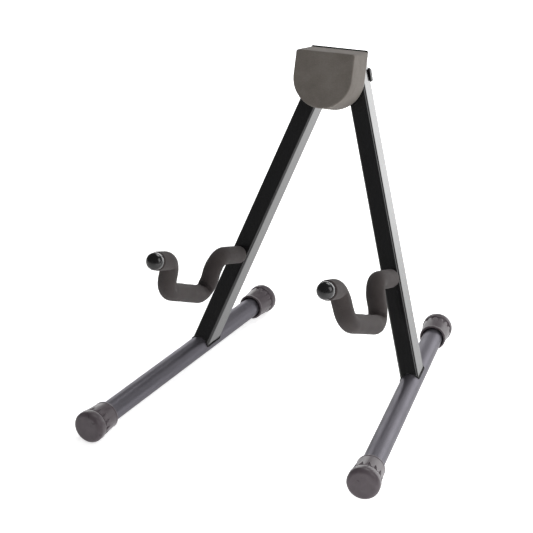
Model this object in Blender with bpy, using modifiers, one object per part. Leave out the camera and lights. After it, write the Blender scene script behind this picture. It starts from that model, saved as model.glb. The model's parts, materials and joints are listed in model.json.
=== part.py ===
"""Folding A-frame guitar stand with a padded head, two legs and two cradle arms.

Each leg swings on a front-to-back bolt in the head. The legs lie in one plane that
leans back. Metres, +Z up, the front faces -Y, the origin is on the floor under the
middle of the stand.
"""
import math

import bmesh
import bpy
from mathutils import Matrix, Vector

MM = 0.001
GAP = 0.3 * MM                      # between pieces that touch
RUNNING = 0.08 * MM                 # radial clearance of the pivots

# Stance
LEAN = math.radians(18.1)           # the leg plane leans back
SPREAD = math.radians(18.4)         # each leg from the middle line, in that plane
PIVOT_HALF = 18.1 * MM              # pivot to the middle line
LEG_BELOW = 365.3 * MM              # pivot to foot axis, along the leg
LEG_ABOVE = 7.0 * MM                # pivot to the tube's top end

# Legs, rectangular tube
LEG_W = 22.0 * MM
LEG_D = 30.0 * MM
LEG_WALL = 1.5 * MM
LEG_CORNER = 3.0 * MM
PLUG_LID = 1.8 * MM
PLUG_SKIRT = 1.9 * MM

# Feet, round tube with rubber caps
FOOT_R = 12.1 * MM
FOOT_WALL = 1.5 * MM
FOOT_FRONT = 254.2 * MM             # leg axis to the front cap's end
FOOT_BACK = 155.5 * MM              # leg axis to the rear cap's end
CAP_WALL = 6.1 * MM
CAP_LIP = 3.4 * MM                  # the wall at the cap's open end
CAP_R = FOOT_R + CAP_WALL
CAP_LIP_R = FOOT_R + CAP_LIP
CAP_LEN = 38.5 * MM
CAP_DISC = 12.5 * MM                # height of the thick end
CAP_END = 4.0 * MM
CAP_FILLET = 5.2 * MM

# Cradle arms, bent rod in a foam sleeve: corners as (forward, up) from the leg's axis
ARM_UP = 120.1 * MM                 # foot axis to the arm, along the leg
ARM_TURN = {1: math.radians(5.2), -1: math.radians(2.6)}    # turned upright from the leg
ARM_TOE = {1: math.radians(-0.2), -1: math.radians(1.3)}    # and away from the middle line
ARM_OUT = 81.0 * MM
ARM_DROP = (68.8 * MM, -50.0 * MM)
ARM_REACH = (184.9 * MM, -38.0 * MM)
ARM_RISE = (201.1 * MM, 0.2 * MM)
ARM_TIP = (248.4 * MM, 0.3 * MM)
ARM_BENDS = (17.0 * MM, 17.0 * MM, 31.0 * MM, 26.0 * MM)
ROD_R = 3.9 * MM
SLEEVE_WALL = 6.2 * MM
SLEEVE_BORE = ROD_R + 2 * GAP
SLEEVE_R = SLEEVE_BORE + SLEEVE_WALL
TIP_R = SLEEVE_R - 1.0 * MM
TIP_LEN = 11.2 * MM

# Head
PLATE = 2.0 * MM
BRACKET = 1.6 * MM
PAD_HALF = 35.5 * MM
PAD_CENTRE = -12.7 * MM             # centre of the half-round bottom, from the pivots
PAD_THICK = 47.4 * MM
PAD_TOP_REAR = 22.8 * MM
PAD_TOP_FRONT = 16.0 * MM
PAD_EDGE = 1.2 * MM
PLATE_TOP = 24.3 * MM
PLATE_HALF = 34.9 * MM
EAR_GAP = 0.3 * MM
EAR_TOP = 0.6 * MM
EAR_LEN = 13.5 * MM
EAR_FLARE = math.radians(3)         # opens upwards, clear of the leg's swinging top
EAR_FRONT = 10.0 * MM               # ear's front edge behind the leg's axis
CENTRE_BOLT = -30.0 * MM

# Fasteners
BOLT_R = 3.0 * MM
BOLT_HOLE = BOLT_R + GAP
BUSH_R = BOLT_HOLE + 1.2 * MM
SPACER_R = BOLT_HOLE + 1.7 * MM
HEAD_R = 5.5 * MM
HEAD_H = 3.3 * MM
NUT_R = 5.8 * MM                    # to the corners
NUT_H = 5.0 * MM
WASHER_R = 6.2 * MM
WASHER_H = 1.4 * MM

ROUND = 28                          # sides of a turned piece

X, Y, Z = Vector((1, 0, 0)), Vector((0, 1, 0)), Vector((0, 0, 1))
HALF_DEPTH = LEG_D / 2
LEG_SLOPE = math.atan2(math.sin(LEAN), math.cos(LEAN) * math.cos(SPREAD))
PIVOT_Z = CAP_R + LEG_BELOW * math.cos(LEAN) * math.cos(SPREAD)
FOOT_TOE = math.atan(math.sin(LEAN) * math.tan(SPREAD))
PIVOT_Y = (LEG_BELOW * math.sin(LEAN) * math.cos(SPREAD)
           + (FOOT_FRONT - FOOT_BACK) / 2 * math.cos(FOOT_TOE))
PLATE_FRONT = -HALF_DEPTH - GAP - PLATE
PAD_BACK = PLATE_FRONT - GAP
BRACKET_BACK = HALF_DEPTH + GAP + BRACKET


def clear_scene():
    for obj in list(bpy.data.objects):
        bpy.data.objects.remove(obj)
    for col in list(bpy.data.collections):
        bpy.data.collections.remove(col)


def new_collection(name):
    col = bpy.data.collections.new(name)
    bpy.context.scene.collection.children.link(col)
    return col


def material(name, rgb, roughness, metallic=0.0):
    mat = bpy.data.materials.new(name)
    mat.use_nodes = True
    bsdf = mat.node_tree.nodes["Principled BSDF"]
    bsdf.inputs["Base Color"].default_value = (*rgb, 1.0)
    bsdf.inputs["Roughness"].default_value = roughness
    bsdf.inputs["Metallic"].default_value = metallic
    mat.diffuse_color = (*rgb, 1.0)
    return mat


clear_scene()
PARTS = new_collection("guitar_stand")
CUTTERS = new_collection("guitar_stand_cutters")
FOAM = (0.105, 0.098, 0.092)
SLEEVE_FOAM = (0.050, 0.043, 0.042)
BLACK_STEEL = (0.012, 0.012, 0.013)
GREY_STEEL = (0.16, 0.155, 0.17)
RUBBER = (0.060, 0.056, 0.060)
BLACK_PLASTIC = (0.010, 0.010, 0.011)
ZINC = (0.42, 0.42, 0.43)


def empty(name, location, rotation):
    obj = bpy.data.objects.new(name, None)
    obj.location = location
    obj.rotation_euler = rotation
    PARTS.objects.link(obj)
    return obj


def link(obj, parent, look=None):
    """Put a finished object in its collection: a part has a look, a cutter has none."""
    for col in list(obj.users_collection):
        col.objects.unlink(obj)
    obj.parent = parent
    if look:
        PARTS.objects.link(obj)
        obj.data.materials.clear()
        obj.data.materials.append(material(obj.name, *look))
    else:
        CUTTERS.objects.link(obj)
        obj.hide_render = True
        obj.display_type = "WIRE"
    return obj


def from_bmesh(name, bm):
    mesh = bpy.data.meshes.new(name)
    bm.to_mesh(mesh)
    bm.free()
    return bpy.data.objects.new(name, mesh)


def box(name, size, centre):
    bm = bmesh.new()
    bmesh.ops.create_cube(bm, size=1.0, matrix=Matrix.Diagonal((*size, 1.0)))
    obj = from_bmesh(name, bm)
    obj.location = centre
    return obj


def prism(name, radius, length, centre, direction, sides=ROUND):
    """A round or hexagonal bar with its middle at centre."""
    bm = bmesh.new()
    bmesh.ops.create_cone(bm, cap_ends=True, segments=sides, radius1=radius, radius2=radius,
                          depth=length)
    obj = from_bmesh(name, bm)
    obj.location = centre
    obj.rotation_euler = Vector(direction).to_track_quat("Z", "X").to_euler()
    if sides > 12:
        round_off(obj)
    return obj


def round_off(obj):
    obj.data.shade_smooth()
    obj.data.set_sharp_from_angle(angle=math.radians(35))


def turned(name, profile, start, direction, steps=ROUND):
    """A profile of (radius, height) run round the local Z axis, outer side downwards."""
    mesh = bpy.data.meshes.new(name)
    points = [(r, 0.0, h) for r, h in profile]
    closed = profile[0][0] > 0
    edges = [(i, i + 1) for i in range(len(points) - 1)]
    if closed:
        edges.append((len(points) - 1, 0))
    mesh.from_pydata(points, edges, [])
    obj = bpy.data.objects.new(name, mesh)
    screw = obj.modifiers.new("turn", "SCREW")
    screw.steps = screw.render_steps = steps
    screw.use_merge_vertices = True
    screw.merge_threshold = 0.00001
    screw.use_smooth_shade = True
    obj.location = start
    obj.rotation_euler = Vector(direction).to_track_quat("Z", "X").to_euler()
    return obj


def curve_object(name, points, dimensions):
    data = bpy.data.curves.new(name, "CURVE")
    data.dimensions = dimensions
    spline = data.splines.new("POLY")
    spline.points.add(len(points) - 1)
    for place, point in zip(spline.points, points):
        place.co = (*point, 1.0)
    return bpy.data.objects.new(name, data)


def to_mesh(obj):
    """The curve as a welded mesh object in its place."""
    PARTS.objects.link(obj)
    bpy.context.view_layer.update()
    evaluated = obj.evaluated_get(bpy.context.evaluated_depsgraph_get())
    mesh = bpy.data.meshes.new_from_object(evaluated)
    bm = bmesh.new()
    bm.from_mesh(mesh)
    bmesh.ops.remove_doubles(bm, verts=bm.verts, dist=0.000005)
    bm.to_mesh(mesh)
    bm.free()
    solid = bpy.data.objects.new(obj.name, mesh)
    solid.matrix_world = obj.matrix_world.copy()
    name, data = obj.name, obj.data
    bpy.data.objects.remove(obj)
    bpy.data.curves.remove(data)
    solid.name = mesh.name = name
    return solid


def rod(name, path, radius, resolution):
    """A bent bar along a path of points."""
    obj = curve_object(name, path, "3D")
    obj.data.bevel_depth = radius
    obj.data.bevel_resolution = resolution
    obj.data.use_fill_caps = True
    obj = to_mesh(obj)
    round_off(obj)
    return obj


def sheet(name, outline, thickness, middle):
    """A flat outline in the local XZ plane, thickened along Y about middle."""
    obj = curve_object(name, [(x, z, 0.0) for x, z in outline], "2D")
    obj.data.splines[0].use_cyclic_u = True
    obj.data.fill_mode = "BOTH"
    obj.data.extrude = thickness / 2
    obj = to_mesh(obj)
    obj.data.transform(Matrix.Rotation(math.radians(90), 4, "X"))
    obj.location = (0, middle, 0)
    return obj


def boolean(obj, other, operation):
    mod = obj.modifiers.new(operation.lower(), "BOOLEAN")
    mod.operation = operation
    mod.solver = "EXACT"
    mod.object = other
    return obj


def cut(obj, cutter, parent):
    return boolean(obj, link(cutter, parent), "DIFFERENCE")


def join(obj, other, parent):
    return boolean(obj, link(other, parent), "UNION")


def bevel(obj, width, segments=2, angle=50):
    mod = obj.modifiers.new("edge", "BEVEL")
    mod.width = width
    mod.segments = segments
    mod.limit_method = "ANGLE"
    mod.angle_limit = math.radians(angle)
    return obj


def arc(centre, radius, start, end, steps):
    turn = [start + (end - start) * i / steps for i in range(steps + 1)]
    return [(centre[0] + radius * math.cos(t), centre[1] + radius * math.sin(t)) for t in turn]


def rounded(corners, radii, steps):
    """The corners' path with each inner corner replaced by an arc."""
    points = [Vector(corners[0])]
    for before, corner, after, radius in zip(corners, corners[1:], corners[2:], radii):
        corner = Vector(corner)
        to_before = (Vector(before) - corner).normalized()
        to_after = (Vector(after) - corner).normalized()
        half = to_before.angle(to_after) / 2
        bisector = (to_before + to_after).normalized()
        centre = corner + bisector * (radius / math.sin(half))
        first = (corner + to_before * (radius / math.tan(half)) - centre).normalized()
        last = (corner + to_after * (radius / math.tan(half)) - centre).normalized()
        for i in range(steps + 1):
            points.append(centre + first.slerp(last, i / steps) * radius)
    points.append(Vector(corners[-1]))
    return points


def leg_box(name, width, depth, bottom, top, corner):
    """A bar with rounded long edges, from bottom to top along the leg."""
    obj = box(name, (width, depth, top - bottom), (0, 0, (top + bottom) / 2))
    bm = bmesh.new()
    bm.from_mesh(obj.data)
    half = (top - bottom) / 2
    long_edges = [e for e in bm.edges if abs(e.verts[0].co.z - e.verts[1].co.z) > half]
    bmesh.ops.bevel(bm, geom=long_edges, offset=corner, offset_type="OFFSET", segments=4,
                    profile=0.5, affect="EDGES")
    bm.to_mesh(obj.data)
    bm.free()
    round_off(obj)
    return obj


def pivot_side(side):
    return "right" if side > 0 else "left"


# ---------------------------------------------------------------- head

HEAD = empty("head_frame", (0, PIVOT_Y, PIVOT_Z), (-LEAN, 0, 0))


def pad_outline(half, top, corner):
    bottom = arc((0, PAD_CENTRE), half, math.pi, 2 * math.pi, 28)
    right = arc((half - corner, top - corner), corner, 0, math.pi / 2, 3)
    left = arc((-half + corner, top - corner), corner, math.pi / 2, math.pi, 3)
    return bottom + right + left


def fastener_spots():
    return [("right", PIVOT_HALF, 0.0), ("left", -PIVOT_HALF, 0.0), ("centre", 0.0, CENTRE_BOLT)]


def head_pad():
    middle = PAD_BACK - PAD_THICK / 2
    pad = sheet("head_pad", pad_outline(PAD_HALF, PAD_TOP_REAR, 3.0 * MM), PAD_THICK, middle)
    slope = math.atan2(PAD_TOP_REAR - PAD_TOP_FRONT, PAD_THICK)
    slab = box("pad_top_cutter", (3 * PAD_HALF, 3 * PAD_THICK, 20 * MM), (0, 0, 0))
    slab.rotation_euler = (slope, 0, 0)
    lift = Vector((0, -math.sin(slope), math.cos(slope))) * 10 * MM
    slab.location = Vector((0, PAD_BACK, PAD_TOP_REAR)) + lift
    cut(pad, slab, HEAD)
    for name, x, z in fastener_spots():
        pocket = prism("pad_pocket_" + name, HEAD_R + 1.2 * MM, 2 * (HEAD_H + 1.5 * MM),
                       (x, PAD_BACK, z), Y, 16)
        cut(pad, pocket, HEAD)
    bevel(pad, PAD_EDGE, 2, 60)
    return link(pad, HEAD, (FOAM, 0.9))


def drill(obj, prefix, y, depth):
    for name, x, z in fastener_spots():
        cut(obj, prism(prefix + name, BOLT_HOLE, 3 * depth, (x, y, z), Y, 24), HEAD)


def front_plate():
    middle = PLATE_FRONT + PLATE / 2
    plate = sheet("front_plate", pad_outline(PLATE_HALF, PLATE_TOP, 2.0 * MM), PLATE, middle)
    drill(plate, "front_plate_hole_", middle, PLATE)
    return link(plate, HEAD, (BLACK_STEEL, 0.4, 0.0))


def on_leg(side, across, along):
    """A point given across and along a leg, in the head's plane."""
    x = PIVOT_HALF + across * math.cos(SPREAD) - along * math.sin(SPREAD)
    z = across * math.sin(SPREAD) + along * math.cos(SPREAD)
    return side * x, z


def bracket_outline():
    """Round the plate: from the left end of the top, clockwise seen from behind."""
    foot_edge = LEG_W / 2 + EAR_GAP + BRACKET - 0.2 * MM
    edge = foot_edge + EAR_LEN * math.tan(EAR_FLARE)
    right = [on_leg(1, edge - 10 * MM, EAR_TOP + 3 * MM), on_leg(1, edge - 2 * MM, EAR_TOP + 2 * MM),
             on_leg(1, edge, EAR_TOP), on_leg(1, foot_edge, EAR_TOP - EAR_LEN)]
    foot = arc((0, CENTRE_BOLT), 9 * MM, -0.15 * math.pi, -0.85 * math.pi, 8)
    left = [(-x, z) for x, z in reversed(right)]
    return right + foot + left


def rear_bracket():
    middle = BRACKET_BACK - BRACKET / 2
    plate = sheet("rear_bracket", bracket_outline(), BRACKET, middle)
    for side in (1, -1):
        across = LEG_W / 2 + EAR_GAP + BRACKET / 2 + EAR_LEN / 2 * math.tan(EAR_FLARE)
        x, z = on_leg(side, across, EAR_TOP - EAR_LEN / 2)
        depth = BRACKET_BACK - EAR_FRONT
        ear = box("ear_" + pivot_side(side), (BRACKET, depth, EAR_LEN),
                  (x, EAR_FRONT + depth / 2, z))
        ear.rotation_euler = (0, -side * (SPREAD - EAR_FLARE), 0)
        join(plate, ear, HEAD)
    drill(plate, "rear_bracket_hole_", middle, BRACKET)
    return link(plate, HEAD, (BLACK_STEEL, 0.4, 0.0))


def bolt(name, x, z):
    """Button head against the front plate, shank through to beyond the nut."""
    face = PLATE_FRONT - GAP
    end = BRACKET_BACK + WASHER_H + NUT_H + 3 * GAP + 1.5 * MM
    length = end - face
    profile = [(0, HEAD_H), (0.55 * HEAD_R, HEAD_H), (0.84 * HEAD_R, 0.7 * HEAD_H),
               (HEAD_R, 0.25 * HEAD_H), (HEAD_R, 0), (BOLT_R, 0), (BOLT_R, -length + 0.5 * MM),
               (BOLT_R - 0.5 * MM, -length), (0, -length)]
    piece = turned(name, profile, (x, face, z), -Y, 20)
    return link(piece, HEAD, (ZINC, 0.35, 1.0))


def ring(name, outer, inner, length, start, look, steps=24):
    """A plain tube or washer from start towards the back."""
    profile = [(outer, length), (outer, 0), (inner, 0), (inner, length)]
    return link(turned(name, profile, start, Y, steps), HEAD, look)


def nut(name, x, z):
    start = BRACKET_BACK + WASHER_H + 2 * GAP
    body = prism(name, NUT_R, NUT_H, (x, start + NUT_H / 2, z), Y, 6)
    hole = prism(name + "_hole", BOLT_HOLE, 3 * NUT_H, (x, start, z), Y, 20)
    cut(body, hole, HEAD)
    return link(body, HEAD, (ZINC, 0.4, 1.0))


def head():
    head_pad()
    front_plate()
    rear_bracket()
    tube_len = LEG_D
    for name, x, z in fastener_spots():
        bolt("bolt_" + name, x, z)
        ring("washer_" + name, WASHER_R, BOLT_HOLE, WASHER_H, (x, BRACKET_BACK + GAP, z),
             (ZINC, 0.4, 1.0), 20)
        nut("nut_" + name, x, z)
        outer = SPACER_R if name == "centre" else BUSH_R
        label = "spacer_centre" if name == "centre" else "bush_" + name
        ring(label, outer, BOLT_HOLE, tube_len, (x, -HALF_DEPTH, z), (ZINC, 0.4, 1.0))


# ---------------------------------------------------------------- legs

def foot_direction():
    """Along the foot tube to the front, level once the leg stands at its lean and spread."""
    return Vector((0, -math.cos(LEG_SLOPE), -math.sin(LEG_SLOPE)))


def foot_axis_point(distance):
    return Vector((0, 0, -LEG_BELOW)) + foot_direction() * distance


def leg_tube(frame, arm_frame, tag):
    tube = leg_box("leg_tube_" + tag, LEG_W, LEG_D, -LEG_BELOW, LEG_ABOVE, LEG_CORNER)
    inside = leg_box("leg_inside_" + tag, LEG_W - 2 * LEG_WALL, LEG_D - 2 * LEG_WALL,
                     -LEG_BELOW - 10 * MM, LEG_ABOVE + 10 * MM, LEG_CORNER - LEG_WALL)
    cut(tube, inside, frame)
    cut(tube, prism("leg_cope_" + tag, FOOT_R + GAP, 90 * MM, foot_axis_point(0),
                    foot_direction(), 48), frame)
    cut(tube, prism("leg_pivot_hole_" + tag, BUSH_R + RUNNING, 60 * MM, (0, 0, 0), Y, 24), frame)
    cut(tube, prism("leg_arm_hole_" + tag, ROD_R + GAP, 20 * MM, (0, -HALF_DEPTH, 0), Y, 20),
        arm_frame)
    return link(tube, frame, (BLACK_STEEL, 0.3, 0.0))


def leg_plug(frame, tag):
    base = LEG_ABOVE + GAP
    lid = leg_box("leg_plug_" + tag, LEG_W, LEG_D, base, base + PLUG_LID, LEG_CORNER)
    inset = LEG_WALL + GAP
    skirt = leg_box("leg_plug_skirt_" + tag, LEG_W - 2 * inset, LEG_D - 2 * inset,
                    base - PLUG_SKIRT, base + PLUG_LID / 2, LEG_CORNER - LEG_WALL)
    join(lid, skirt, frame)
    return link(lid, frame, (BLACK_PLASTIC, 0.5))


def foot_tube(frame, tag):
    start = foot_axis_point(-FOOT_BACK + CAP_END + GAP)
    length = FOOT_FRONT + FOOT_BACK - 2 * (CAP_END + GAP)
    inner = FOOT_R - FOOT_WALL
    profile = [(FOOT_R, length), (FOOT_R, 0), (inner, 0), (inner, length)]
    tube = turned("foot_tube_" + tag, profile, start, foot_direction(), 32)
    return link(tube, frame, (GREY_STEEL, 0.35, 0.6))


def cap_profile():
    """Flat end, rounded edge, shallow groove, then a sleeve that narrows to its lip."""
    edge = CAP_R - CAP_FILLET
    profile = [(0, CAP_LEN)]
    profile += [(edge + r, CAP_LEN - CAP_FILLET + h)
                for r, h in arc((0, 0), CAP_FILLET, math.pi / 2, 0, 4)]
    neck = CAP_LEN - CAP_DISC
    profile += [(CAP_R - 0.2 * MM, neck + 1 * MM), (CAP_R - 1.3 * MM, neck - 0.5 * MM),
                (CAP_R - 1.0 * MM, neck - 3 * MM), (CAP_LIP_R + 0.3 * MM, 6 * MM),
                (CAP_LIP_R, 1 * MM), (CAP_LIP_R - 0.8 * MM, 0), (FOOT_R + 1.2 * MM, 0),
                (FOOT_R + GAP, 2.0 * MM), (FOOT_R + GAP, CAP_LEN - CAP_END), (0, CAP_LEN - CAP_END)]
    return profile


def foot_cap(frame, tag, end):
    direction = foot_direction() if end == "front" else -foot_direction()
    reach = FOOT_FRONT if end == "front" else FOOT_BACK
    start = Vector((0, 0, -LEG_BELOW)) + direction * (reach - CAP_LEN)
    cap = turned("foot_cap_%s_%s" % (end, tag), cap_profile(), start, direction)
    return link(cap, frame, (RUBBER, 0.6))


def arm_point(forward, up):
    return Vector((0, -forward, up))


def arm_path(start, end):
    corners = [arm_point(start, 0), arm_point(ARM_OUT, 0), arm_point(*ARM_DROP),
               arm_point(*ARM_REACH), arm_point(*ARM_RISE), end]
    return rounded(corners, ARM_BENDS, 7)


def arm_tip(back):
    """A point on the arm's last straight, back from its tip."""
    rise, tip = arm_point(*ARM_RISE), arm_point(*ARM_TIP)
    return tip + (rise - tip).normalized() * back


def arm(frame, tag):
    sleeve_end = arm_tip(TIP_LEN + GAP)
    bar = rod("arm_rod_" + tag, arm_path(-HALF_DEPTH + LEG_WALL + GAP, arm_tip(4.5 * MM)), ROD_R, 4)
    link(bar, frame, (ZINC, 0.4, 1.0))
    sleeve = rod("arm_sleeve_" + tag, arm_path(HALF_DEPTH + GAP, sleeve_end), SLEEVE_R, 7)
    bore = rod("arm_sleeve_bore_" + tag, arm_path(0, arm_tip(0)), SLEEVE_BORE, 4)
    cut(sleeve, bore, frame)
    link(sleeve, frame, (SLEEVE_FOAM, 0.9))
    length, hole = TIP_LEN, TIP_LEN - 4.2 * MM
    profile = [(0, length), (0.34 * TIP_R, length - 0.3 * MM), (0.645 * TIP_R, length - 1.5 * MM),
               (0.86 * TIP_R, length - 3.4 * MM), (0.97 * TIP_R, length - 5.8 * MM),
               (TIP_R, length - 8 * MM), (TIP_R, 0.8 * MM), (TIP_R - 0.8 * MM, 0),
               (SLEEVE_BORE, 0), (SLEEVE_BORE, hole), (0, hole)]
    direction = arm_tip(0) - arm_tip(1)
    tip = turned("arm_tip_" + tag, profile, arm_tip(length), direction, 24)
    link(tip, frame, (BLACK_PLASTIC, 0.25))


def leg(side):
    tag = pivot_side(side)
    frame = empty("leg_frame_" + tag, (side * PIVOT_HALF, 0, 0), (0, -side * SPREAD, 0))
    frame.parent = HEAD
    turn = empty("arm_turn_" + tag, (0, 0, ARM_UP - LEG_BELOW), (0, side * ARM_TURN[side], 0))
    turn.parent = frame
    toe = empty("arm_toe_" + tag, (0, 0, 0), (0, 0, side * ARM_TOE[side]))
    toe.parent = turn
    leg_tube(frame, toe, tag)
    leg_plug(frame, tag)
    foot_tube(frame, tag)
    for end in ("front", "rear"):
        foot_cap(frame, tag, end)
    arm(toe, tag)


head()
for leg_side in (1, -1):
    leg(leg_side)
bpy.context.view_layer.update()
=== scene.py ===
import json
import math

import bmesh
import bpy
from mathutils import Matrix, Vector, noise


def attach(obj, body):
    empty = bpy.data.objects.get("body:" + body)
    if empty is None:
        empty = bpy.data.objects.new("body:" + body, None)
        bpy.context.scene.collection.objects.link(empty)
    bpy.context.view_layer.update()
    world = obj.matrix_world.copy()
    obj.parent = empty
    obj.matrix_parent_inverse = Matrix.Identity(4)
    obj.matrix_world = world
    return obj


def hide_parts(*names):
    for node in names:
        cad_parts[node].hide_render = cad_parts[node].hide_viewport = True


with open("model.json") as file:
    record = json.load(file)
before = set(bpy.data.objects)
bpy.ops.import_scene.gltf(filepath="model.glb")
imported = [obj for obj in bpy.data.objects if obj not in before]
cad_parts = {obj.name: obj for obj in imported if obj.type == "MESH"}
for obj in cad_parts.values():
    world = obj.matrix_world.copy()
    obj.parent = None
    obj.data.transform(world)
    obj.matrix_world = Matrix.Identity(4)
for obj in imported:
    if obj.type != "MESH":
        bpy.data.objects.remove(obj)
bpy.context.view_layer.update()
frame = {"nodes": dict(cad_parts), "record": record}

# Folding A-frame guitar stand. Sizes in metres, in the CAD's frame: the front faces -Y.
MM = 0.001
SIDES = (("right", 1), ("left", -1))

# Stance, as the CAD has it
SPREAD = math.radians(18.4)
LEG_BELOW = 365.3 * MM
LEG_ABOVE = 7.0 * MM
LEG_W, LEG_D, LEG_WALL, LEG_CORNER = 22 * MM, 30 * MM, 1.5 * MM, 3.0 * MM
FOOT_R, FOOT_WALL = 12.1 * MM, 1.5 * MM
FOOT_FRONT, FOOT_BACK = 254.2 * MM, 155.5 * MM
CAP_R, CAP_LIP_R, CAP_LEN, CAP_END = 18.2 * MM, 15.5 * MM, 38.5 * MM, 4.0 * MM
CAP_FILLET, CAP_DISC = 5.2 * MM, 12.5 * MM
FLUTES, FLUTE_LEN = 14, 8.0 * MM
ARM_UP = 120.1 * MM
ARM_TURN = {1: math.radians(5.2), -1: math.radians(2.6)}
ARM_TOE = {1: math.radians(-0.2), -1: math.radians(1.3)}
ARM_CORNERS = ((81.0, 0.0), (68.8, -50.0), (184.9, -38.0), (201.1, 0.2), (248.4, 0.3))
ARM_BENDS = (17.0 * MM, 17.0 * MM, 31.0 * MM, 26.0 * MM)
SLEEVE_R = {1: 11.0 * MM, -1: 10.5 * MM}
SLEEVE_BORE = 4.5 * MM
TIP_R, TIP_LEN = 9.7 * MM, 11.2 * MM
PAD_HALF, PAD_CENTRE, PAD_THICK = 35.5 * MM, -12.7 * MM, 47.4 * MM
PAD_TOP_REAR, PAD_TOP_FRONT, PAD_BACK = 22.8 * MM, 16.0 * MM, -17.6 * MM
GAP = 0.3 * MM
PIVOT_BORE, ARM_HOLE = 4.58 * MM, 4.20 * MM


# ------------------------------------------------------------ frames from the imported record

JOINTS = {j["name"]: j for j in frame["record"]["behaviour"]["joints"]}


def head_matrix():
    """Origin midway between the two pivots, -Y out of the pad's face, +Z up the leg plane."""
    right = Vector(JOINTS["leg_fold_right"]["pos_m"])
    left = Vector(JOINTS["leg_fold_left"]["pos_m"])
    axis = Vector(JOINTS["leg_fold_left"]["axis"])
    lean = math.atan2(axis.z, -axis.y)
    return Matrix.Translation((right + left) / 2) @ Matrix.Rotation(-lean, 4, "X"), lean


HEAD, LEAN = head_matrix()
PIVOT_HALF = JOINTS["leg_fold_right"]["pos_m"][0]
LEG_SLOPE = math.atan2(math.sin(LEAN), math.cos(LEAN) * math.cos(SPREAD))
FOOT_DIRECTION = Vector((0, -math.cos(LEG_SLOPE), -math.sin(LEG_SLOPE)))


def leg_matrix(side):
    return (HEAD @ Matrix.Translation((side * PIVOT_HALF, 0, 0))
            @ Matrix.Rotation(-side * SPREAD, 4, "Y"))


def arm_matrix(side):
    return (leg_matrix(side) @ Matrix.Translation((0, 0, ARM_UP - LEG_BELOW))
            @ Matrix.Rotation(side * ARM_TURN[side], 4, "Y")
            @ Matrix.Rotation(side * ARM_TOE[side], 4, "Z"))


def along(direction, start):
    """Local Z runs along direction from start."""
    turn = Vector(direction).to_track_quat("Z", "X").to_matrix().to_4x4()
    return Matrix.Translation(start) @ turn


# ------------------------------------------------------------ material helpers

def linear(hex_colour):
    """sRGB hex to linear RGBA."""
    parts = [int(hex_colour[i:i + 2], 16) / 255 for i in (1, 3, 5)]
    lin = [c / 12.92 if c <= 0.04045 else ((c + 0.055) / 1.055) ** 2.4 for c in parts]
    return (*lin, 1.0)


def add(tree, kind, settings=None, values=None, links=None):
    """One node with its settings, socket values and incoming links."""
    node = tree.nodes.new(kind)
    for key, value in (settings or {}).items():
        setattr(node, key, value)
    for key, value in (values or {}).items():
        node.inputs[key].default_value = value
    for key, socket in (links or {}).items():
        tree.links.new(socket, node.inputs[key])
    return node


def new_finish(name, values):
    """A material with one Principled shader; returns material, tree, shader."""
    mat = bpy.data.materials.new(name)
    mat.use_nodes = True
    tree = mat.node_tree
    tree.nodes.clear()
    shader = add(tree, "ShaderNodeBsdfPrincipled", values=values)
    add(tree, "ShaderNodeOutputMaterial", links={"Surface": shader.outputs["BSDF"]})
    return mat, tree, shader


def ramp(tree, factor, stops):
    node = add(tree, "ShaderNodeValToRGB", links={"Fac": factor})
    elements = node.color_ramp.elements
    while len(elements) < len(stops):
        elements.new(0.5)
    for element, (place, colour) in zip(elements, stops):
        element.position = place
        element.color = colour
    return node.outputs["Color"]


def grey(value):
    return (value, value, value, 1.0)


def closed_cell_foam(name, light, dark, sheen):
    """Closed-cell foam, skived from a block: dead matt, fine open cells on the cut face,
    cloudy lighter and darker patches where hands have rubbed it."""
    mat, tree, shader = new_finish(name, {"Roughness": 0.95, "IOR": 1.45,
                                          "Specular IOR Level": 0.25, "Sheen Weight": sheen,
                                          "Sheen Roughness": 0.6})
    place = add(tree, "ShaderNodeTexCoord").outputs["Object"]
    clouds = add(tree, "ShaderNodeTexNoise", values={"Scale": 1 / (22 * MM), "Detail": 5.0,
                                                     "Roughness": 0.6}, links={"Vector": place})
    # cells are about 0.3 mm; drawn at 0.9 mm so that they show
    cells = add(tree, "ShaderNodeTexNoise", values={"Scale": 1 / (0.9 * MM), "Detail": 3.0,
                                                    "Roughness": 0.7}, links={"Vector": place})
    pores = add(tree, "ShaderNodeTexVoronoi", values={"Scale": 1 / (1.6 * MM)},
                links={"Vector": place})
    tone = ramp(tree, clouds.outputs["Fac"], [(0.3, linear(dark)), (0.7, linear(light))])
    grain = ramp(tree, cells.outputs["Fac"], [(0.3, grey(0.80)), (0.75, grey(1.12))])
    mixed = tree.nodes.new("ShaderNodeMix")
    mixed.data_type, mixed.blend_type = "RGBA", "MULTIPLY"
    mixed.inputs[0].default_value = 1.0
    tree.links.new(tone, mixed.inputs[6])
    tree.links.new(grain, mixed.inputs[7])
    tree.links.new(mixed.outputs[2], shader.inputs["Base Color"])
    fine = add(tree, "ShaderNodeBump", values={"Strength": 0.35, "Distance": 0.15 * MM},
               links={"Height": cells.outputs["Fac"]})
    pits = add(tree, "ShaderNodeBump", values={"Strength": 0.2, "Distance": 0.2 * MM},
               links={"Height": pores.outputs["Distance"], "Normal": fine.outputs["Normal"]})
    tree.links.new(pits.outputs["Normal"], shader.inputs["Normal"])
    return mat


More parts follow.
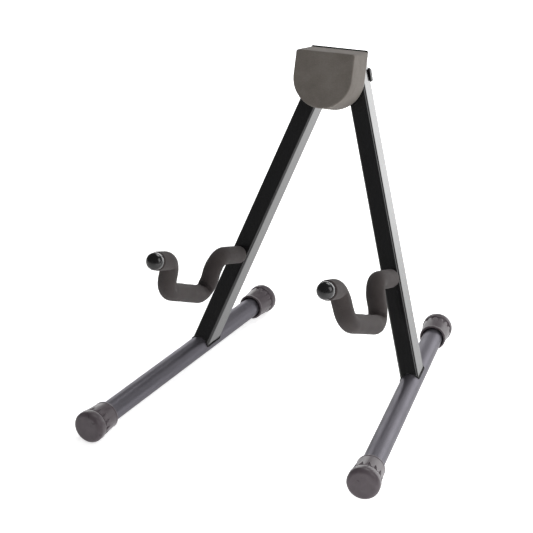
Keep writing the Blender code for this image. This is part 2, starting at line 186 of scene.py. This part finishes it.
def gloss_powder_coat():
    """Gloss black powder coat on steel tube: near-black, mirror-like at a glancing angle,
    with the faint orange peel of a baked coat."""
    mat, tree, shader = new_finish("gloss black powder coat", {
        "Base Color": linear("#0e0e0f"), "IOR": 1.5})
    place = add(tree, "ShaderNodeTexCoord").outputs["Object"]
    # orange peel waves about 2.5 mm apart
    peel = add(tree, "ShaderNodeTexNoise", values={"Scale": 1 / (2.5 * MM), "Detail": 2.0},
               links={"Vector": place})
    handling = add(tree, "ShaderNodeTexNoise", values={"Scale": 1 / (35 * MM), "Detail": 6.0,
                                                       "Roughness": 0.65}, links={"Vector": place})
    rough = add(tree, "ShaderNodeMapRange", values={"From Min": 0.3, "From Max": 0.7,
                                                    "To Min": 0.14, "To Max": 0.22},
                links={"Value": handling.outputs["Fac"]})
    tree.links.new(rough.outputs["Result"], shader.inputs["Roughness"])
    bump = add(tree, "ShaderNodeBump", values={"Strength": 0.05, "Distance": 0.05 * MM},
               links={"Height": peel.outputs["Fac"]})
    tree.links.new(bump.outputs["Normal"], shader.inputs["Normal"])
    return mat


def gunmetal_lacquer():
    """Dark metallic lacquer over drawn steel tube: silky grey, a long soft reflection down
    the tube and a fine metal-flake sparkle."""
    mat, tree, shader = new_finish("gunmetal metallic lacquer", {
        "Metallic": 0.8, "Specular Tint": (0.5, 0.5, 0.51, 1.0)})
    place = add(tree, "ShaderNodeTexCoord").outputs["Object"]
    # flakes are under 0.1 mm; drawn at 0.7 mm
    flakes = add(tree, "ShaderNodeTexNoise", values={"Scale": 1 / (0.7 * MM), "Detail": 1.0},
                 links={"Vector": place})
    clouds = add(tree, "ShaderNodeTexNoise", values={"Scale": 1 / (30 * MM), "Detail": 4.0},
                 links={"Vector": place})
    colour = ramp(tree, flakes.outputs["Fac"], [(0.3, linear("#5b595f")), (0.7, linear("#68666c"))])
    tree.links.new(colour, shader.inputs["Base Color"])
    rough = add(tree, "ShaderNodeMapRange", values={"From Min": 0.3, "From Max": 0.7,
                                                    "To Min": 0.30, "To Max": 0.40},
                links={"Value": clouds.outputs["Fac"]})
    tree.links.new(rough.outputs["Result"], shader.inputs["Roughness"])
    bump = add(tree, "ShaderNodeBump", values={"Strength": 0.05, "Distance": 0.03 * MM},
               links={"Height": flakes.outputs["Fac"]})
    tree.links.new(bump.outputs["Normal"], shader.inputs["Normal"])
    return mat


def moulded_rubber():
    """Moulded black rubber with a grey bloom: satin, cloudy, soft highlights."""
    mat, tree, shader = new_finish("moulded black rubber", {"IOR": 1.52,
                                                            "Specular IOR Level": 0.2})
    place = add(tree, "ShaderNodeTexCoord").outputs["Object"]
    bloom = add(tree, "ShaderNodeTexNoise", values={"Scale": 1 / (14 * MM), "Detail": 6.0,
                                                    "Roughness": 0.6}, links={"Vector": place})
    # moulded surface grain about 0.6 mm
    grain = add(tree, "ShaderNodeTexNoise", values={"Scale": 1 / (0.6 * MM), "Detail": 2.0},
                links={"Vector": place})
    colour = ramp(tree, bloom.outputs["Fac"], [(0.3, linear("#474044")), (0.7, linear("#544d51"))])
    tree.links.new(colour, shader.inputs["Base Color"])
    rough = add(tree, "ShaderNodeMapRange", values={"From Min": 0.3, "From Max": 0.7,
                                                    "To Min": 0.26, "To Max": 0.38},
                links={"Value": bloom.outputs["Fac"]})
    tree.links.new(rough.outputs["Result"], shader.inputs["Roughness"])
    bump = add(tree, "ShaderNodeBump", values={"Strength": 0.15, "Distance": 0.05 * MM},
               links={"Height": grain.outputs["Fac"]})
    tree.links.new(bump.outputs["Normal"], shader.inputs["Normal"])
    return mat


def moulded_plastic(name, colour, low, high):
    """Injection-moulded polypropylene: even colour, light handling smears in its gloss."""
    mat, tree, shader = new_finish(name, {"Base Color": linear(colour), "IOR": 1.49})
    place = add(tree, "ShaderNodeTexCoord").outputs["Object"]
    smears = add(tree, "ShaderNodeTexNoise", values={"Scale": 1 / (6 * MM), "Detail": 5.0},
                 links={"Vector": place})
    rough = add(tree, "ShaderNodeMapRange", values={"From Min": 0.3, "From Max": 0.7,
                                                    "To Min": low, "To Max": high},
                links={"Value": smears.outputs["Fac"]})
    tree.links.new(rough.outputs["Result"], shader.inputs["Roughness"])
    bump = add(tree, "ShaderNodeBump", values={"Strength": 0.08, "Distance": 0.03 * MM},
               links={"Height": smears.outputs["Fac"]})
    tree.links.new(bump.outputs["Normal"], shader.inputs["Normal"])
    return mat


def zinc_plate():
    """Bright zinc plate on cold-headed steel: pale blue-grey metal, slightly cloudy."""
    mat, tree, shader = new_finish("zinc-plated steel", {"Metallic": 1.0})
    place = add(tree, "ShaderNodeTexCoord").outputs["Object"]
    clouds = add(tree, "ShaderNodeTexNoise", values={"Scale": 1 / (3 * MM), "Detail": 4.0},
                 links={"Vector": place})
    colour = ramp(tree, clouds.outputs["Fac"], [(0.3, linear("#a7aab0")), (0.7, linear("#bfc1c4"))])
    tree.links.new(colour, shader.inputs["Base Color"])
    rough = add(tree, "ShaderNodeMapRange", values={"From Min": 0.3, "From Max": 0.7,
                                                    "To Min": 0.28, "To Max": 0.42},
                links={"Value": clouds.outputs["Fac"]})
    tree.links.new(rough.outputs["Result"], shader.inputs["Roughness"])
    return mat


PAD_FOAM = closed_cell_foam("skived closed-cell foam", "#66615c", "#5a5550", 0.05)
SLEEVE_FOAM = closed_cell_foam("extruded foam tube", "#393433", "#302b2b", 0.05)
POWDER_COAT = gloss_powder_coat()
LACQUER = gunmetal_lacquer()
RUBBER = moulded_rubber()
TIP_PLASTIC = moulded_plastic("gloss black vinyl", "#0d0d0e", 0.16, 0.26)
BLACK_OXIDE = moulded_plastic("matt black oxide", "#0c0c0d", 0.45, 0.6)
PLUG_PLASTIC = moulded_plastic("matt black polypropylene", "#131313", 0.5, 0.62)
ZINC = zinc_plate()


# ------------------------------------------------------------ mesh helpers

def piece_from(bm, name, finish, place=Matrix(), sharp=40):
    """A finished piece: vertices carried to their place, the object at the origin."""
    bm.transform(place)
    bmesh.ops.recalc_face_normals(bm, faces=bm.faces)
    mesh = bpy.data.meshes.new(name)
    bm.to_mesh(mesh)
    bm.free()
    mesh.shade_smooth()
    mesh.set_sharp_from_angle(angle=math.radians(sharp))
    mesh.materials.append(finish)
    obj = bpy.data.objects.new(name, mesh)
    bpy.context.scene.collection.objects.link(obj)
    return obj


def drill(obj, radius, length, place, sharp=40):
    """A round hole along the place's own Z, cut right through the piece."""
    bm = bmesh.new()
    bmesh.ops.create_cone(bm, cap_ends=True, segments=64, radius1=radius, radius2=radius,
                          depth=length, matrix=place)
    tool_mesh = bpy.data.meshes.new(obj.name + "_drill")
    bm.to_mesh(tool_mesh)
    bm.free()
    tool = bpy.data.objects.new(obj.name + "_drill", tool_mesh)
    bpy.context.scene.collection.objects.link(tool)
    cut = obj.modifiers.new("drill", "BOOLEAN")
    cut.operation, cut.solver, cut.object = "DIFFERENCE", "EXACT", tool
    graph = bpy.context.evaluated_depsgraph_get()
    drilled = bpy.data.meshes.new_from_object(obj.evaluated_get(graph))
    obj.modifiers.clear()
    obj.data = drilled
    bpy.data.objects.remove(tool)
    bpy.data.meshes.remove(tool_mesh)
    drilled.shade_smooth()
    drilled.set_sharp_from_angle(angle=math.radians(sharp))


def place_piece(obj, body, slot, *nodes):
    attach(obj, body)
    if nodes:
        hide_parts(*nodes)
    return obj


def bridge_rings(bm, rings, closed=False):
    """Quads between neighbouring rings of vertices."""
    pairs = list(zip(rings, rings[1:]))
    if closed:
        pairs.append((rings[-1], rings[0]))
    for one, two in pairs:
        count = len(one)
        for i in range(count):
            j = (i + 1) % count
            bm.faces.new((one[i], one[j], two[j], two[i]))


def lathe(profile, steps):
    """Turned solid: (radius, height) points, from the axis or as a closed loop."""
    bm = bmesh.new()
    rings = []
    for radius, height in profile:
        if radius == 0:
            rings.append([bm.verts.new((0, 0, height))])
            continue
        angles = [2 * math.pi * i / steps for i in range(steps)]
        rings.append([bm.verts.new((radius * math.cos(a), radius * math.sin(a), height))
                      for a in angles])
    loop = profile[0][0] > 0
    pairs = list(zip(rings, rings[1:])) + ([(rings[-1], rings[0])] if loop else [])
    for one, two in pairs:
        for i in range(steps):
            j = (i + 1) % steps
            if len(one) == 1:
                bm.faces.new((one[0], two[i], two[j]))
            elif len(two) == 1:
                bm.faces.new((one[j], one[i], two[0]))
            else:
                bm.faces.new((one[i], one[j], two[j], two[i]))
    return bm


def arc(centre, radius, start, end, steps):
    turn = [start + (end - start) * i / steps for i in range(steps + 1)]
    return [(centre[0] + radius * math.cos(t), centre[1] + radius * math.sin(t)) for t in turn]


def rounded_path(corners, radii, step):
    """Evenly stepped path with arcs at its inner corners, and each bend as its corner,
    the two ways out of it and the way in to the arc's centre."""
    spans = [Vector(corners[0])]
    bends = []
    for before, corner, after, radius in zip(corners, corners[1:], corners[2:], radii):
        corner = Vector(corner)
        to_before = (Vector(before) - corner).normalized()
        to_after = (Vector(after) - corner).normalized()
        half = to_before.angle(to_after) / 2
        bisector = (to_before + to_after).normalized()
        centre = corner + bisector * (radius / math.sin(half))
        first = (corner + to_before * (radius / math.tan(half)) - centre).normalized()
        last = (corner + to_after * (radius / math.tan(half)) - centre).normalized()
        count = max(4, int(first.angle(last) * radius / (0.25 * step)))
        spans += [centre + first.slerp(last, i / count) * radius for i in range(count + 1)]
        bends.append((corner, to_before, to_after, bisector, radius / math.tan(half)))
    spans.append(Vector(corners[-1]))
    lengths = [0.0]
    for a, b in zip(spans, spans[1:]):
        lengths.append(lengths[-1] + (b - a).length)
    count = int(lengths[-1] / step)
    points, k = [], 0
    for i in range(count + 1):
        target = lengths[-1] * i / count
        while k < len(spans) - 2 and lengths[k + 1] < target:
            k += 1
        t = (target - lengths[k]) / (lengths[k + 1] - lengths[k])
        points.append(spans[k].lerp(spans[k + 1], t))
    return points, bends


def way_out(point, out, corner, along_leg, radius):
    """How far the ray goes before it leaves a straight tube that starts at the corner."""
    off = point - corner
    off -= along_leg * off.dot(along_leg)
    ray = out - along_leg * out.dot(along_leg)
    a, b, c = ray.dot(ray), 2 * off.dot(ray), off.dot(off) - radius * radius
    root = b * b - 4 * a * c
    if a < 1e-9 or root < 0:
        return radius
    return (-b + math.sqrt(root)) / (2 * a)


def smooth(low, high, value):
    t = min(1.0, max(0.0, (value - low) / (high - low)))
    return t * t * (3 - 2 * t)


# ------------------------------------------------------------ head pad

def pad_outline(half, top, corner, steps):
    bottom = arc((0, PAD_CENTRE), half, math.pi, 2 * math.pi, steps)
    right = arc((half - corner, top - corner), corner, 0, math.pi / 2, 5)
    left = arc((-half + corner, top - corner), corner, math.pi / 2, math.pi, 7)
    return bottom + right + left


def resample(outline, count):
    """The closed outline as count points at even spacing."""
    pts = [Vector(p) for p in outline] + [Vector(outline[0])]
    lengths = [0.0]
    for a, b in zip(pts, pts[1:]):
        lengths.append(lengths[-1] + (b - a).length)
    out, k = [], 0
    for i in range(count):
        target = lengths[-1] * i / count
        while lengths[k + 1] < target:
            k += 1
        t = (target - lengths[k]) / max(lengths[k + 1] - lengths[k], 1e-9)
        out.append(pts[k].lerp(pts[k + 1], t))
    return out


def foam_pad():
    """The D-shaped block: skived faces, soft edges, slightly uneven as cut foam is."""
    edge = 1.5 * MM
    top, corner = PAD_TOP_REAR, 3.2 * MM
    outline = resample(pad_outline(PAD_HALF, top, corner, 90), 260)
    centre = Vector((0, PAD_CENTRE))
    slope = (PAD_TOP_REAR - PAD_TOP_FRONT) / PAD_THICK
    bm = bmesh.new()

    def ring(depth, inset):
        """One loop of the block's wall; the top falls towards the front."""
        made = []
        for p in outline:
            x, z = p.x, p.y
            z = z if z < 0 else z * (top - slope * depth) / top
            out = Vector((x, z)) - centre
            out -= out.normalized() * inset
            made.append(bm.verts.new((centre.x + out.x, PAD_BACK - depth, centre.y + out.y)))
        return made

    turns = [math.pi / 2 * i / 5 for i in range(6)]
    rings = [ring(edge * (1 - math.sin(t)) * 0.6, edge * (1 - math.cos(t)) * 0.6)
             for t in reversed(turns)]
    walls = 26
    rings += [ring(edge + (PAD_THICK - 2 * edge) * i / walls, 0) for i in range(1, walls)]
    rings += [ring(PAD_THICK - edge * (1 - math.sin(t)), edge * (1 - math.cos(t)))
              for t in turns]
    bridge_rings(bm, rings)
    for last, depth, inset0 in ((rings[0], 0.0, edge), (rings[-1], PAD_THICK, edge)):
        previous = last
        for share in (0.9, 0.78, 0.64, 0.5, 0.36, 0.22, 0.1):
            loop = [bm.verts.new((v.co.x * share, v.co.y, centre.y + (v.co.z - centre.y) * share))
                    for v in last]
            bridge_rings(bm, [previous, loop])
            previous = loop
        middle = bm.verts.new((0, last[0].co.y, centre.y))
        for i, v in enumerate(previous):
            bm.faces.new((v, previous[(i + 1) % len(previous)], middle))
    bm.normal_update()
    for v in bm.verts:
        wave = noise.noise(v.co * 45) * 0.22 + noise.noise(v.co * 160 + Vector((7, 0, 0))) * 0.10
        if v.co.y < PAD_BACK - 2 * MM:
            v.co += v.normal * wave * MM
    obj = piece_from(bm, "foam_pad", PAD_FOAM, HEAD, 50)
    place_piece(obj, "head", "head_foam", "head_pad")


# ------------------------------------------------------------ arms

def arm_point(forward, up):
    return Vector((0, -forward * MM, up * MM))


def tip_back(distance):
    rise, tip = arm_point(*ARM_CORNERS[-2]), arm_point(*ARM_CORNERS[-1])
    return tip + (rise - tip).normalized() * distance


def foam_sleeve(tag, side):
    """Foam tube pushed over the bent rod: round outside each bend, folded to a sharp
    crease inside it."""
    corners = [Vector((0, -LEG_D / 2 - GAP, 0))]
    corners += [arm_point(*c) for c in ARM_CORNERS[:-1]]
    corners.append(tip_back(TIP_LEN + GAP))
    step, around, radius = 0.9 * MM, 64, SLEEVE_R[side]
    path, bends = rounded_path(corners, ARM_BENDS, step)
    bm = bmesh.new()
    outer, inner = [], []
    for i, p in enumerate(path):
        ahead = path[min(i + 1, len(path) - 1)] - path[max(i - 1, 0)]
        ahead.normalize()
        across = Vector((1, 0, 0))
        up = across.cross(ahead).normalized()
        from_end = min(i, len(path) - 1 - i) * step
        lip = 0.9 * MM * max(0.0, 1 - from_end / (1.4 * MM)) ** 2
        ring, hole = [], []
        for k in range(around):
            a = 2 * math.pi * k / around
            out = across * math.cos(a) + up * math.sin(a)
            reach = radius
            for corner, one, two, bisector, tangent in bends:
                if (p - corner).length > tangent + 2 * MM:
                    continue
                fold = max(way_out(p, out, corner, one, radius),
                           way_out(p, out, corner, two, radius))
                share = smooth(0.05, 0.55, out.dot(bisector))
                reach += (min(fold, radius) - radius) * share
            spot = p + out * (reach - lip)
            ripple = noise.noise(spot * 60) * 0.18 + noise.noise(spot * 240) * 0.07
            ring.append(bm.verts.new(spot + out * ripple * MM))
            hole.append(bm.verts.new(p + out * SLEEVE_BORE))
        outer.append(ring)
        inner.append(hole)
    bridge_rings(bm, outer + inner[::-1], closed=True)
    obj = piece_from(bm, "foam_sleeve_" + tag, SLEEVE_FOAM, arm_matrix(side), 60)
    place_piece(obj, "leg_" + tag, "sleeve_foam", "arm_sleeve_" + tag)


def end_cap(tag, side):
    """Glossy domed cap on the rod's end."""
    length, dome = TIP_LEN, 7.0 * MM
    profile = [(0, length)]
    profile += [(TIP_R * math.sin(t), length - dome + dome * math.cos(t) ** 0.9)
                for t in (math.pi / 2 * i / 16 for i in range(1, 16))]
    profile += [(TIP_R, length - dome), (TIP_R, 1.2 * MM), (TIP_R - 0.2 * MM, 0.5 * MM),
                (TIP_R - 0.7 * MM, 0), (SLEEVE_BORE, 0), (SLEEVE_BORE, length - 4.2 * MM),
                (0, length - 4.2 * MM)]
    direction = tip_back(0) - tip_back(1)
    bm = lathe(profile, 72)
    obj = piece_from(bm, "end_cap_" + tag, TIP_PLASTIC,
                     arm_matrix(side) @ along(direction, tip_back(length)), 50)
    place_piece(obj, "leg_" + tag, "tip_plastic", "arm_tip_" + tag)


# ------------------------------------------------------------ legs and feet

def section(width, depth, corner, steps):
    """Rounded rectangle, counter-clockwise."""
    hx, hy = width / 2 - corner, depth / 2 - corner
    points = []
    for cx, cy, start in ((hx, hy, 0), (-hx, hy, 90), (-hx, -hy, 180), (hx, -hy, 270)):
        points += arc((cx, cy), corner, math.radians(start), math.radians(start + 90), steps)
    return points


def height_on_foot(x, y, radius):
    """Height, along the leg, where a line at (x, y) meets the foot tube's upper side."""
    # the tube's axis runs through (0, 0, -LEG_BELOW) along FOOT_DIRECTION in the YZ plane
    slope = FOOT_DIRECTION.z / FOOT_DIRECTION.y
    rise = math.sqrt(max(radius ** 2 - x ** 2, 0.0)) * math.sqrt(1 + slope ** 2)
    return -LEG_BELOW + y * slope + rise


def leg_tube(tag, side):
    """Rectangular tube with rolled corners, open inside, its foot end coped to the tube."""
    outer = section(LEG_W, LEG_D, LEG_CORNER, 8)
    inner = section(LEG_W - 2 * LEG_WALL, LEG_D - 2 * LEG_WALL, LEG_CORNER - LEG_WALL, 8)
    outer = subdivide(outer, 5)
    inner = subdivide(inner, 5)
    bm = bmesh.new()

    def foot_ring(points):
        return [bm.verts.new((x, y, height_on_foot(x, y, FOOT_R + 0.15 * MM)))
                for x, y in points]

    def level_ring(points, z):
        return [bm.verts.new((x, y, z)) for x, y in points]

    top = LEG_ABOVE
    outside = [level_ring(outer, top - 0.0001), foot_ring(outer)]
    inside = [foot_ring(inner), level_ring(inner, top - 0.0001)]
    bridge_rings(bm, outside + inside, closed=True)
    obj = piece_from(bm, "leg_" + tag + "_tube", POWDER_COAT, leg_matrix(side), 40)
    # the pivot's bore goes through both walls, the arm's hole through the front wall only
    drill(obj, PIVOT_BORE, 2 * LEG_D, leg_matrix(side) @ along((0, -1, 0), (0, 0, 0)))
    drill(obj, ARM_HOLE, 20 * MM, arm_matrix(side) @ along((0, -1, 0), (0, -LEG_D / 2, 0)))
    place_piece(obj, "leg_" + tag, "black_steel", "leg_tube_" + tag)


def subdivide(points, parts):
    """More points on the long straight sides, so that the coped edge can curve."""
    out = []
    for a, b in zip(points, points[1:] + points[:1]):
        gap = math.dist(a, b)
        count = parts * 4 if gap > 5 * MM else 1
        out += [(a[0] + (b[0] - a[0]) * i / count, a[1] + (b[1] - a[1]) * i / count)
                for i in range(count)]
    return out


def foot_tube(tag, side):
    start = Vector((0, 0, -LEG_BELOW)) - FOOT_DIRECTION * (FOOT_BACK - CAP_END - GAP)
    length = FOOT_FRONT + FOOT_BACK - 2 * (CAP_END + GAP)
    inner = FOOT_R - FOOT_WALL
    profile = [(FOOT_R, length), (FOOT_R, 0), (inner, 0), (inner, length)]
    obj = piece_from(lathe(profile, 96), "foot_" + tag + "_tube", LACQUER,
                     leg_matrix(side) @ along(FOOT_DIRECTION, start), 40)
    place_piece(obj, "leg_" + tag, "grey_steel", "foot_tube_" + tag)


def cap_profile():
    """Slightly dished end, rounded edge, thick disc, then a fluted neck and a tapered
    sleeve with a rolled lip."""
    edge, neck = CAP_R - CAP_FILLET, CAP_LEN - CAP_DISC
    points = [(0, CAP_LEN - 0.5 * MM), (edge * 0.5, CAP_LEN - 0.38 * MM)]
    points += [(edge * 0.8, CAP_LEN - 0.15 * MM)]
    points += [(edge + r, CAP_LEN - CAP_FILLET + h)
               for r, h in arc((0, 0), CAP_FILLET, math.pi / 2 - 0.1, 0, 14)]
    points += [(CAP_R - 0.05 * MM, neck + 2.0 * MM), (CAP_R - 0.4 * MM, neck + 0.9 * MM),
               (CAP_R - 1.1 * MM, neck + 0.3 * MM), (CAP_R - 1.6 * MM, neck)]
    steps, top = 44, CAP_R - 0.9 * MM
    for i in range(steps + 1):
        t = i / steps
        points.append((top - (top - CAP_LIP_R) * t, neck - 0.8 * MM - t * (neck - 3.4 * MM)))
    lip = CAP_LIP_R
    points += [(lip + 0.25 * MM, 2.0 * MM), (lip + 0.3 * MM, 1.3 * MM), (lip + 0.15 * MM, 0.5 * MM),
               (lip - 0.3 * MM, 0.08 * MM), (lip - 0.8 * MM, 0), (FOOT_R + 1.6 * MM, 0),
               (FOOT_R + 1.3 * MM, 0.3 * MM), (FOOT_R + 1.1 * MM, 2.5 * MM),
               (FOOT_R + GAP, 5.0 * MM), (FOOT_R + GAP, CAP_LEN - CAP_END),
               (0, CAP_LEN - CAP_END)]
    return points


def cut_flutes(bm):
    """V-shaped pockets in the neck, widest at the disc and closing towards the lip."""
    neck = CAP_LEN - CAP_DISC
    for v in bm.verts:
        radius = math.hypot(v.co.x, v.co.y)
        along_neck = (neck - 0.3 * MM - v.co.z) / FLUTE_LEN
        if radius < FOOT_R + 2 * MM or not 0 <= along_neck < 1:
            continue
        turn = math.atan2(v.co.y, v.co.x) / (2 * math.pi) * FLUTES
        beside = abs(turn - round(turn)) * 2
        width = 0.85 * (1 - along_neck)
        depth = 1.5 * MM * max(0.0, 1 - beside / max(width, 1e-6)) * (1 - 0.4 * along_neck)
        v.co.x *= (radius - depth) / radius
        v.co.y *= (radius - depth) / radius


def foot_cap(tag, side, end):
    direction = FOOT_DIRECTION if end == "front" else -FOOT_DIRECTION
    reach = FOOT_FRONT if end == "front" else FOOT_BACK
    start = Vector((0, 0, -LEG_BELOW)) + direction * (reach - CAP_LEN)
    bm = lathe(cap_profile(), 224)
    cut_flutes(bm)
    obj = piece_from(bm, "cap_%s_%s" % (end, tag), RUBBER,
                     leg_matrix(side) @ along(direction, start), 50)
    place_piece(obj, "leg_" + tag, "rubber", "foot_cap_%s_%s" % (end, tag))


# ------------------------------------------------------------ weld beads

def bead_group():
    """Geometry Nodes: overlapping weld ripples along a path."""
    group = bpy.data.node_groups.new("weld ripples", "GeometryNodeTree")
    face = group.interface
    face.new_socket("Path", in_out="INPUT", socket_type="NodeSocketGeometry")
    face.new_socket("Pitch", in_out="INPUT", socket_type="NodeSocketFloat")
    face.new_socket("Bead Radius", in_out="INPUT", socket_type="NodeSocketFloat")
    face.new_socket("Finish", in_out="INPUT", socket_type="NodeSocketMaterial")
    face.new_socket("Bead", in_out="OUTPUT", socket_type="NodeSocketGeometry")
    given = add(group, "NodeGroupInput")
    curve = add(group, "GeometryNodeMeshToCurve", links={"Mesh": given.outputs["Path"]})
    even = add(group, "GeometryNodeResampleCurve", {"mode": "LENGTH"},
               links={"Curve": curve.outputs["Curve"], "Length": given.outputs["Pitch"]})
    drop = add(group, "GeometryNodeMeshIcoSphere", values={"Subdivisions": 3},
               links={"Radius": given.outputs["Bead Radius"]})
    tangent = add(group, "GeometryNodeInputTangent")
    turn = add(group, "FunctionNodeAlignRotationToVector", {"axis": "Z"},
               links={"Vector": tangent.outputs["Tangent"]})
    size = add(group, "FunctionNodeRandomValue", {"data_type": "FLOAT_VECTOR"})
    size.inputs[0].default_value = (0.85, 0.85, 0.5)
    size.inputs[1].default_value = (1.15, 1.15, 0.7)
    drops = add(group, "GeometryNodeInstanceOnPoints",
                links={"Points": even.outputs["Curve"], "Instance": drop.outputs["Mesh"],
                       "Rotation": turn.outputs["Rotation"], "Scale": size.outputs[0]})
    real = add(group, "GeometryNodeRealizeInstances",
               links={"Geometry": drops.outputs["Instances"]})
    painted = add(group, "GeometryNodeSetMaterial",
                  links={"Geometry": real.outputs["Geometry"],
                         "Material": given.outputs["Finish"]})
    add(group, "NodeGroupOutput", links={"Bead": painted.outputs["Geometry"]})
    return group


WELD = bead_group()


def weld_bead(tag, side):
    """The fillet weld round the coped foot of the leg."""
    outline = subdivide(section(LEG_W + 1.0 * MM, LEG_D + 1.0 * MM, LEG_CORNER, 8), 5)
    path = bmesh.new()
    ring = [path.verts.new((x, y, height_on_foot(x, y, FOOT_R + 0.2 * MM) + 0.2 * MM))
            for x, y in outline]
    for a, b in zip(ring, ring[1:] + ring[:1]):
        path.edges.new((a, b))
    path.transform(leg_matrix(side))
    mesh = bpy.data.meshes.new("weld_path_" + tag)
    path.to_mesh(mesh)
    path.free()
    holder = bpy.data.objects.new("weld_path_" + tag, mesh)
    bpy.context.scene.collection.objects.link(holder)
    ripples = holder.modifiers.new("ripples", "NODES")
    ripples.node_group = WELD
    sockets = {item.name: item.identifier for item in WELD.interface.items_tree}
    ripples[sockets["Pitch"]] = 1.1 * MM
    ripples[sockets["Bead Radius"]] = 0.9 * MM
    ripples[sockets["Finish"]] = POWDER_COAT
    evaluated = holder.evaluated_get(bpy.context.evaluated_depsgraph_get())
    bead = bpy.data.meshes.new_from_object(evaluated)
    bead.shade_smooth()
    bead.name = "weld_bead_" + tag
    obj = bpy.data.objects.new(bead.name, bead)
    bpy.context.scene.collection.objects.link(obj)
    bpy.data.objects.remove(holder)
    place_piece(obj, "leg_" + tag, "black_steel")


# ------------------------------------------------------------ build the pieces

foam_pad()
for tag, side in SIDES:
    leg_tube(tag, side)
    foot_tube(tag, side)
    foot_cap(tag, side, "front")
    foot_cap(tag, side, "rear")
    foam_sleeve(tag, side)
    end_cap(tag, side)
    weld_bead(tag, side)

CAD_FINISH = {"front_plate": POWDER_COAT, "rear_bracket": BLACK_OXIDE}
for name in ("leg_plug_left", "leg_plug_right"):
    CAD_FINISH[name] = PLUG_PLASTIC
for name, node_object in frame["nodes"].items():
    finish = CAD_FINISH.get(name, ZINC)
    for material_slot in node_object.material_slots:
        material_slot.material = finish


# ------------------------------------------------------------ studio

ROOM_GLOW, BACKDROP_GLOW = 0.20, 3.2
TABLE_GLOW, TABLE_GLOW_BACK = 0.85, 1.6
TABLE_DIM_LEFT, TABLE_LIFT_RIGHT = 0.8, 1.8
TABLE_RADIUS, TABLE_DROP = 9.0, 0.0002
TABLE_DEEP, TABLE_WIDE = (0.1, 1.6), (-0.2, 0.6)      # where the table's glow changes
CAMERA_AZIMUTH, CAMERA_ELEVATION = math.radians(22.43), math.radians(22.59)
CAMERA_DISTANCE, CAMERA_LENS = 2.0252, 108.96
CAMERA_AIM = Vector((-94.8, -1.8, -264.5)) * MM       # from the middle of the pivots


def soft_box(name, place, target, size, power):
    light = bpy.data.lights.new(name, "AREA")
    light.shape, light.size, light.energy = "SQUARE", size, power
    obj = bpy.data.objects.new(name, light)
    obj.location = place
    obj.rotation_euler = (Vector(target) - Vector(place)).to_track_quat("-Z", "Y").to_euler()
    bpy.context.scene.collection.objects.link(obj)


def smoothstep(tree, value, low, high, start=0.0, end=1.0):
    return add(tree, "ShaderNodeMapRange", {"interpolation_type": "SMOOTHSTEP"},
               {"From Min": low, "From Max": high, "To Min": start, "To Max": end},
               {"Value": value}).outputs["Result"]


def product(tree, one, two):
    node = add(tree, "ShaderNodeMath", {"operation": "MULTIPLY"})
    tree.links.new(one, node.inputs[0])
    tree.links.new(two, node.inputs[1])
    return node.outputs["Value"]


def studio_sky():
    """Dim room with a bright backdrop low down behind the stand."""
    world = bpy.data.worlds.new("studio")
    bpy.context.scene.world = world
    world.use_nodes = True
    tree = world.node_tree
    tree.nodes.clear()
    axes = add(tree, "ShaderNodeSeparateXYZ",
               links={"Vector": add(tree, "ShaderNodeTexCoord").outputs["Generated"]})
    behind = smoothstep(tree, axes.outputs["Y"], 0.68, 0.86)
    below_top = smoothstep(tree, axes.outputs["Z"], 0.36, 0.45, 1.0, 0.0)
    backdrop = product(tree, behind, below_top)
    strength = smoothstep(tree, backdrop, 0.0, 1.0, ROOM_GLOW, BACKDROP_GLOW)
    sky = add(tree, "ShaderNodeBackground", values={"Color": (1, 1, 1, 1)},
              links={"Strength": strength})
    add(tree, "ShaderNodeOutputWorld", links={"Surface": sky.outputs["Background"]})


def studio():
    bm = bmesh.new()
    bmesh.ops.create_circle(bm, cap_ends=True, segments=96, radius=TABLE_RADIUS)
    below = Matrix.Translation((0, 0, -TABLE_DROP))
    floor = piece_from(bm, "studio_floor", floor_finish(), below)
    studio_sky()
    soft_box("right softbox", (1.1, -0.55, 0.9), (0, 0, 0.2), 0.9, 8.5)
    soft_box("top softbox", (0.3, 0.7, 1.9), (0, 0.05, 0.25), 1.1, 20)


def floor_finish():
    """White acrylic light table, brighter to the back and right, so shadows stay faint."""
    mat, tree, shader = new_finish("white light table", {"Roughness": 0.9,
                                                         "Base Color": linear("#f0f0f0"),
                                                         "Emission Color": (1, 1, 1, 1)})
    place = add(tree, "ShaderNodeTexCoord").outputs["Object"]
    axes = add(tree, "ShaderNodeSeparateXYZ", links={"Vector": place})
    depth = smoothstep(tree, axes.outputs["Y"], *TABLE_DEEP, TABLE_GLOW, TABLE_GLOW_BACK)
    across = smoothstep(tree, axes.outputs["X"], *TABLE_WIDE, TABLE_DIM_LEFT,
                        TABLE_LIFT_RIGHT)
    tree.links.new(product(tree, depth, across), shader.inputs["Emission Strength"])
    fibre = add(tree, "ShaderNodeTexNoise", values={"Scale": 400.0, "Detail": 2.0},
                links={"Vector": place})
    bump = add(tree, "ShaderNodeBump", values={"Strength": 0.03, "Distance": 0.05 * MM},
               links={"Height": fibre.outputs["Fac"]})
    tree.links.new(bump.outputs["Normal"], shader.inputs["Normal"])
    return mat


def camera():
    level = math.cos(CAMERA_ELEVATION)
    back = Vector((math.sin(CAMERA_AZIMUTH) * level, -math.cos(CAMERA_AZIMUTH) * level,
                   math.sin(CAMERA_ELEVATION)))
    target = HEAD.translation + CAMERA_AIM
    data = bpy.data.cameras.new("camera")
    data.lens, data.sensor_width = CAMERA_LENS, 36.0
    obj = bpy.data.objects.new("camera", data)
    obj.location = target + back * CAMERA_DISTANCE
    obj.rotation_euler = (-back).to_track_quat("-Z", "Y").to_euler()
    bpy.context.scene.collection.objects.link(obj)
    bpy.context.scene.camera = obj


studio()
camera()
bpy.context.scene.view_settings.view_transform = "Standard"
